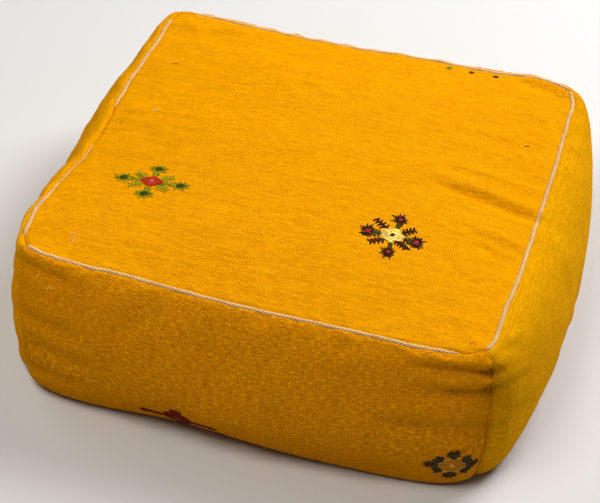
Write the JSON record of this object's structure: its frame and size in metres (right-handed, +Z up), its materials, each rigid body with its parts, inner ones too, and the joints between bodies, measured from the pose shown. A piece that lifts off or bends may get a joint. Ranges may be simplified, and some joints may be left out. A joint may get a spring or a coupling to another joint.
{
  "type": "floor cushion",
  "caption": "Low square floor cushion: flat-woven wool cover with a corded top seam and bulging sides, zipped cotton base, liner and foam filling.",
  "frame": {"origin": "middle of the flat base, on the floor", "axes": "+Z up, -Y towards the front side, +X towards the right side and along the zip to its closed end"},
  "size_m": [0.64, 0.64, 0.196],
  "materials": {
    "wool_cover": "matte",
    "piping_cord": "matte",
    "base_canvas": "matte",
    "zip_tape": "matte",
    "zip_coil": "satin",
    "zip_metal": "satin",
    "liner_calico": "matte",
    "fibre_wadding": "matte",
    "foam": "matte",
    "motif_yarn": "matte"
  },
  "bodies": {
    "cushion": {"top_panel": "wool_cover", "front_panel": "wool_cover", "right_panel": "wool_cover", "back_panel": "wool_cover", "left_panel": "wool_cover", "piping_front": "piping_cord", "piping_right": "piping_cord", "piping_back": "piping_cord", "piping_left": "piping_cord", "base_panel_front": "base_canvas", "base_panel_back": "base_canvas", "zip_tape_front": "zip_tape", "zip_tape_back": "zip_tape", "zip_coil_front": "zip_coil", "zip_coil_back": "zip_coil", "zip_top_stop_front": "zip_metal", "zip_top_stop_back": "zip_metal", "zip_bottom_stop": "zip_metal", "liner_top": "liner_calico", "liner_bottom": "liner_calico", "liner_band": "liner_calico", "wadding_top": "fibre_wadding", "wadding_bottom": "fibre_wadding", "wadding_band": "fibre_wadding", "foam_slab": "foam"},
    "slider": {"zip_slider": "zip_metal"},
    "pull": {"zip_pull": "zip_metal"}
  },
  "joints": [
    {"name": "zip_slide", "type": "slide", "parent": "cushion", "child": "slider", "axis": [-1, 0, 0], "range_m": [0, 0.386]},
    {"name": "pull_swing", "type": "hinge", "parent": "slider", "child": "pull", "pos_m": [0.193, 0, 0.0023], "axis": [0, -1, 0], "range_deg": [0, 180]}
  ]
}
